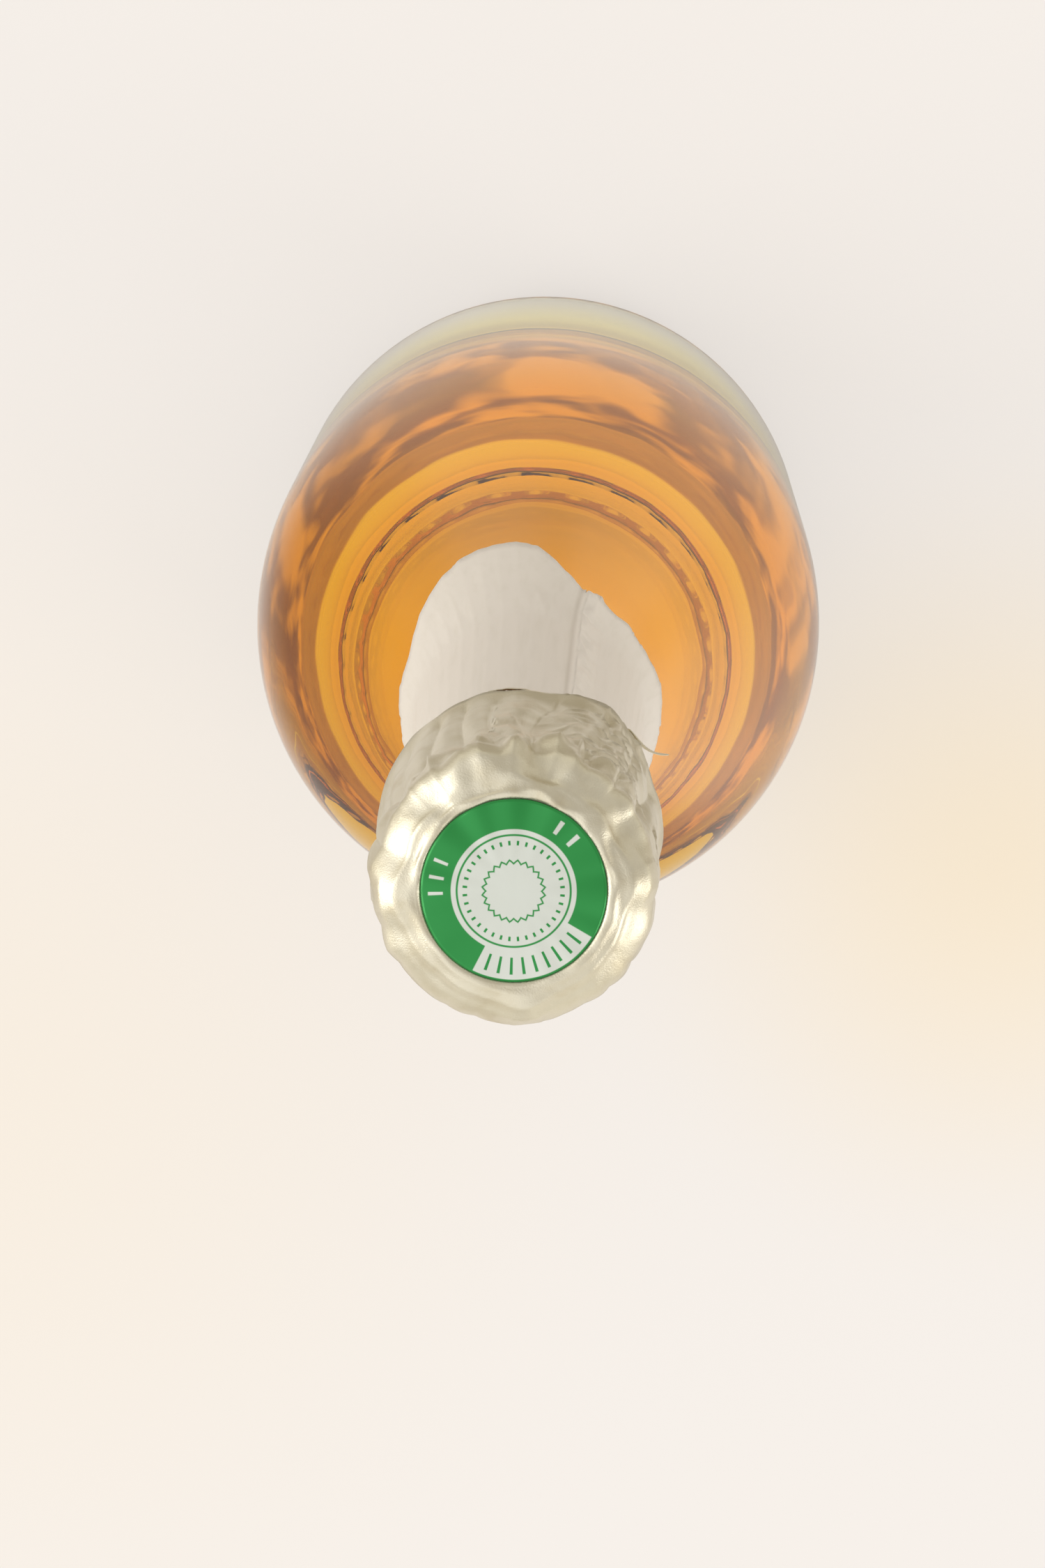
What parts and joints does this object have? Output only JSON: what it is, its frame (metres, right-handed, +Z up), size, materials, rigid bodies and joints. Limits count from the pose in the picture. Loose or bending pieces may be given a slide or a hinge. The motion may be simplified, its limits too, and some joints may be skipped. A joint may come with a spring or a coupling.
{
  "type": "champagne bottle",
  "caption": "Clear glass sparkling-wine bottle with punt, sloping shoulder and long neck, filled, corked, wired with a four-leg wire cage and dressed with a foil hood and neck foil.",
  "frame": {"origin": "centre of the base, on the plane that the bottle stands on", "axes": "+Z up along the bottle's axis, -Y towards the front, where the neck foil hangs lowest, +X to the bottle's right as the front is faced"},
  "size_m": [0.092, 0.092, 0.3183],
  "materials": {
    "clear_glass": "polished",
    "amber_wine": "polished",
    "neck_foil": "satin",
    "hood_foil": "satin",
    "agglomerate_cork": "matte",
    "natural_cork": "matte",
    "cap_metal": "satin",
    "cage_wire": "satin",
    "seal_print": "satin"
  },
  "bodies": {
    "bottle": {"glass_bottle": "clear_glass", "wine": "amber_wine", "neck_foil": "neck_foil", "tear_strip": "hood_foil"},
    "tab": {"tear_tab": "hood_foil"},
    "cork": {"cork_body": "agglomerate_cork", "cork_disc_upper": "natural_cork", "cork_disc_lower": "natural_cork"},
    "cage": {"cap_plaque": "cap_metal", "cage_frame_wire": "cage_wire", "belt_key_wire": "cage_wire"},
    "hood": {"foil_hood": "hood_foil", "seal_disc": "seal_print"}
  },
  "joints": [
    {"name": "tab_swing", "type": "hinge", "parent": "bottle", "child": "tab", "pos_m": [-0.01368, -0.01232, 0.27324], "axis": [0, 0, 1], "range_deg": [0, 100]},
    {"name": "cork_pull", "type": "slide", "parent": "bottle", "child": "cork", "axis": [0, 0, 1], "range_m": [0, 0.04]},
    {"name": "cage_lift", "type": "slide", "parent": "cork", "child": "cage", "axis": [0, 0, 1], "range_m": [0, 0.045], "deforming": ["cage_frame_wire", "belt_key_wire"]},
    {"name": "hood_lift", "type": "slide", "parent": "cage", "child": "hood", "axis": [0, 0, 1], "range_m": [0, 0.06]}
  ]
}
